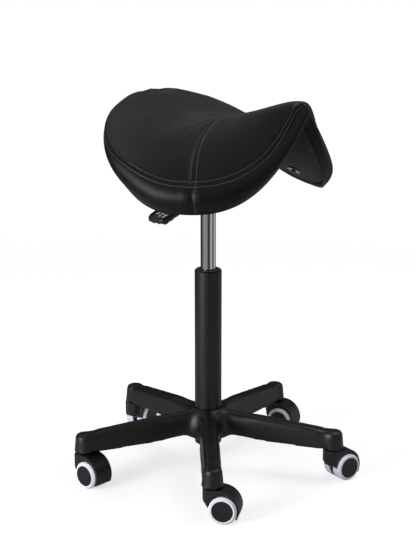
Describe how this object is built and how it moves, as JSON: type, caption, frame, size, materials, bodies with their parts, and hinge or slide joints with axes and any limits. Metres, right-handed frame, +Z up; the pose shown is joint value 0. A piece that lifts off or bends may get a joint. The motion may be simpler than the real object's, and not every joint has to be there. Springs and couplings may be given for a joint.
{
  "type": "saddle stool",
  "caption": "Height-adjustable saddle stool with an upholstered saddle on a gas lift, a five-legged moulded base and twin-wheel casters with soft pale tyres",
  "frame": {"origin": "centre of the column's axis on the floor", "axes": "+X towards the saddle's nose, +Y to the sitter's left, +Z up along the column"},
  "size_m": [0.5194, 0.5056, 0.7186],
  "materials": {
    "black_nylon": "fine spark-eroded moulded surface, satin",
    "black_leather": "fine-grained coated leather, satin sheen",
    "black_plastic": "smooth moulded plastic, satin",
    "black_paint": "satin powder coat on steel",
    "chrome_steel": "polished hard chrome",
    "plain_steel": "zinc-plated steel",
    "plywood": "moulded beech plywood, unfinished",
    "soft_tyre": "pale soft polyurethane, matte",
    "black_rubber": "black rubber",
    "white_acetal": "slippery natural acetal"
  },
  "bodies": {
    "base": {"base_star": "black_nylon", "column_tube": "black_paint", "guide_bush": "black_plastic", "thrust_bearing": "plain_steel", "caster_stem_1": "plain_steel", "caster_stem_2": "plain_steel", "caster_stem_3": "plain_steel", "caster_stem_4": "plain_steel", "caster_stem_5": "plain_steel"},
    "spindle": {"piston_rod": "plain_steel", "piston": "white_acetal", "bump_stop": "black_rubber", "retaining_clip": "plain_steel"},
    "seat": {"gas_cylinder": "chrome_steel", "cylinder_gland": "black_rubber", "lift_housing": "black_paint", "seat_plate": "black_paint", "plate_bolts": "plain_steel", "plate_washers": "plain_steel", "lever_pin": "plain_steel", "seat_pan": "black_plastic", "seat_board": "plywood", "seat_cushion": "black_leather", "pan_screws": "black_paint", "pan_washers": "plain_steel"},
    "lever": {"lever_rod": "black_paint", "lever_handle": "black_plastic"},
    "release_button": {"release_pin": "plain_steel"},
    "caster_1": {"caster_hood_1": "black_nylon", "caster_axle_1": "plain_steel"},
    "left_wheel_1": {"wheel_left_1": "black_nylon", "tyre_left_1": "soft_tyre"},
    "right_wheel_1": {"wheel_right_1": "black_nylon", "tyre_right_1": "soft_tyre"},
    "caster_2": {"caster_hood_2": "black_nylon", "caster_axle_2": "plain_steel"},
    "left_wheel_2": {"wheel_left_2": "black_nylon", "tyre_left_2": "soft_tyre"},
    "right_wheel_2": {"wheel_right_2": "black_nylon", "tyre_right_2": "soft_tyre"},
    "caster_3": {"caster_hood_3": "black_nylon", "caster_axle_3": "plain_steel"},
    "left_wheel_3": {"wheel_left_3": "black_nylon", "tyre_left_3": "soft_tyre"},
    "right_wheel_3": {"wheel_right_3": "black_nylon", "tyre_right_3": "soft_tyre"},
    "caster_4": {"caster_hood_4": "black_nylon", "caster_axle_4": "plain_steel"},
    "left_wheel_4": {"wheel_left_4": "black_nylon", "tyre_left_4": "soft_tyre"},
    "right_wheel_4": {"wheel_right_4": "black_nylon", "tyre_right_4": "soft_tyre"},
    "caster_5": {"caster_hood_5": "black_nylon", "caster_axle_5": "plain_steel"},
    "left_wheel_5": {"wheel_left_5": "black_nylon", "tyre_left_5": "soft_tyre"},
    "right_wheel_5": {"wheel_right_5": "black_nylon", "tyre_right_5": "soft_tyre"}
  },
  "joints": [
    {"name": "seat_swivel", "type": "hinge", "parent": "base", "child": "spindle", "pos_m": [0, 0, 0.0593], "axis": [0, 0, 1], "continuous": true},
    {"name": "seat_lift", "type": "slide", "parent": "spindle", "child": "seat", "axis": [0, 0, 1], "range_m": [-0.1, 0]},
    {"name": "lever_hinge", "type": "hinge", "parent": "seat", "child": "lever", "pos_m": [0, -0.024, 0.563], "axis": [-1, 0, 0], "range_deg": [0, 8], "stiffness_Nm_per_rad": 6, "springref_deg": -28.65},
    {"name": "release_travel", "type": "slide", "parent": "seat", "child": "release_button", "axis": [0, 0, -1], "range_m": [0, 0.0036]},
    {"name": "caster_swivel_1", "type": "hinge", "parent": "base", "child": "caster_1", "pos_m": [0.21743, 0.10232, 0.0602], "axis": [0, 0, 1], "continuous": true},
    {"name": "wheel_spin_left_1", "type": "hinge", "parent": "caster_1", "child": "left_wheel_1", "pos_m": [0.20879, 0.12668, 0.025], "axis": [-0.9677, 0.2521, 0], "continuous": true},
    {"name": "wheel_spin_right_1", "type": "hinge", "parent": "caster_1", "child": "right_wheel_1", "pos_m": [0.23686, 0.11937, 0.025], "axis": [-0.9677, 0.2521, 0], "continuous": true},
    {"name": "caster_swivel_2", "type": "hinge", "parent": "base", "child": "caster_2", "pos_m": [-0.03012, 0.23841, 0.0602], "axis": [0, 0, 1], "continuous": true},
    {"name": "wheel_spin_left_2", "type": "hinge", "parent": "caster_2", "child": "left_wheel_2", "pos_m": [-0.01201, 0.25685, 0.025], "axis": [-0.1977, 0.9803, 0], "continuous": true},
    {"name": "wheel_spin_right_2", "type": "hinge", "parent": "caster_2", "child": "right_wheel_2", "pos_m": [-0.00627, 0.22842, 0.025], "axis": [-0.1977, 0.9803, 0], "continuous": true},
    {"name": "caster_swivel_3", "type": "hinge", "parent": "base", "child": "caster_3", "pos_m": [-0.23604, 0.04503, 0.0602], "axis": [0, 0, 1], "continuous": true},
    {"name": "wheel_spin_left_3", "type": "hinge", "parent": "caster_3", "child": "left_wheel_3", "pos_m": [-0.25449, 0.06314, 0.025], "axis": [-0.9803, -0.1977, 0], "continuous": true},
    {"name": "wheel_spin_right_3", "type": "hinge", "parent": "caster_3", "child": "right_wheel_3", "pos_m": [-0.22606, 0.06887, 0.025], "axis": [-0.9803, -0.1977, 0], "continuous": true},
    {"name": "caster_swivel_4", "type": "hinge", "parent": "base", "child": "caster_4", "pos_m": [-0.11577, -0.21058, 0.0602], "axis": [0, 0, 1], "continuous": true},
    {"name": "wheel_spin_left_4", "type": "hinge", "parent": "caster_4", "child": "left_wheel_4", "pos_m": [-0.09421, -0.1963, 0.025], "axis": [0.0105, 0.9999, 0], "continuous": true},
    {"name": "wheel_spin_right_4", "type": "hinge", "parent": "caster_4", "child": "right_wheel_4", "pos_m": [-0.09452, -0.2253, 0.025], "axis": [0.0105, 0.9999, 0], "continuous": true},
    {"name": "caster_swivel_5", "type": "hinge", "parent": "base", "child": "caster_5", "pos_m": [0.1645, -0.17517, 0.0602], "axis": [0, 0, 1], "continuous": true},
    {"name": "wheel_spin_left_5", "type": "hinge", "parent": "caster_5", "child": "left_wheel_5", "pos_m": [0.17602, -0.15203, 0.025], "axis": [-0.4909, 0.8712, 0], "continuous": true},
    {"name": "wheel_spin_right_5", "type": "hinge", "parent": "caster_5", "child": "right_wheel_5", "pos_m": [0.19026, -0.1773, 0.025], "axis": [-0.4909, 0.8712, 0], "continuous": true}
  ],
  "couplings": [
    {"joint": "release_travel", "follows": "lever_hinge", "m_per_rad": 0.0247}
  ]
}
